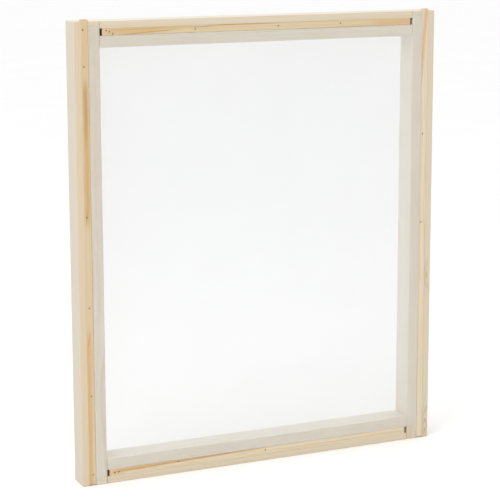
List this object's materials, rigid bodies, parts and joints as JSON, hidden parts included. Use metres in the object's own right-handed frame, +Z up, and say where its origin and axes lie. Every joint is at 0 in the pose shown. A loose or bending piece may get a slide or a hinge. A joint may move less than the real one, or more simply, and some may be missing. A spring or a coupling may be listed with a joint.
{
  "type": "screen printing frame",
  "caption": "Upright wooden screen printing frame: square pine stiles and rails around a stretched translucent mesh, locked in front grooves by nailed wooden splines.",
  "frame": {"origin": "centre of the bottom edge: centred in width and in depth, at the level the frame stands on", "axes": "+Z up along the stiles, +X to the right seen from the mesh side, -Y towards the mesh (printing) side, +Y towards the open ink side"},
  "size_m": [0.5842, 0.0386, 0.6888],
  "materials": {
    "left_stile_wood": "bare sanded pine, satin",
    "right_stile_wood": "bare sanded pine with cathedral grain, satin",
    "top_rail_wood": "bare sanded pine, satin",
    "bottom_rail_wood": "bare sanded pine, satin",
    "left_spline_wood": "bare wood strip with an orange-brown streak, satin",
    "right_spline_wood": "bare wood strip, satin",
    "top_spline_wood": "bare wood strip with orange streaks at its ends, satin",
    "bottom_spline_wood": "bare wood strip with a rising orange streak, satin",
    "mesh_cloth": "fine white woven mesh, translucent",
    "brad_steel": "dark oxidised wire brad",
    "dowel_wood": "beech dowel, unfinished"
  },
  "bodies": {
    "root": {"left_stile": "left_stile_wood", "right_stile": "right_stile_wood", "top_rail": "top_rail_wood", "bottom_rail": "bottom_rail_wood", "left_spline": "left_spline_wood", "right_spline": "right_spline_wood", "top_spline": "top_spline_wood", "bottom_spline": "bottom_spline_wood", "screen_mesh": "mesh_cloth", "left_brad_1": "brad_steel", "left_brad_2": "brad_steel", "left_brad_3": "brad_steel", "left_brad_4": "brad_steel", "left_brad_5": "brad_steel", "left_brad_6": "brad_steel", "right_brad_1": "brad_steel", "right_brad_2": "brad_steel", "top_brad_1": "brad_steel", "top_brad_2": "brad_steel", "top_brad_3": "brad_steel", "top_brad_4": "brad_steel", "top_brad_5": "brad_steel", "top_brad_6": "brad_steel", "bottom_brad_1": "brad_steel", "bottom_brad_2": "brad_steel", "bottom_brad_3": "brad_steel", "bottom_brad_4": "brad_steel", "top_left_dowel_upper": "dowel_wood", "top_left_dowel_lower": "dowel_wood", "top_right_dowel_upper": "dowel_wood", "top_right_dowel_lower": "dowel_wood", "bottom_left_dowel_upper": "dowel_wood", "bottom_left_dowel_lower": "dowel_wood", "bottom_right_dowel_upper": "dowel_wood", "bottom_right_dowel_lower": "dowel_wood"}
  },
  "joints": []
}
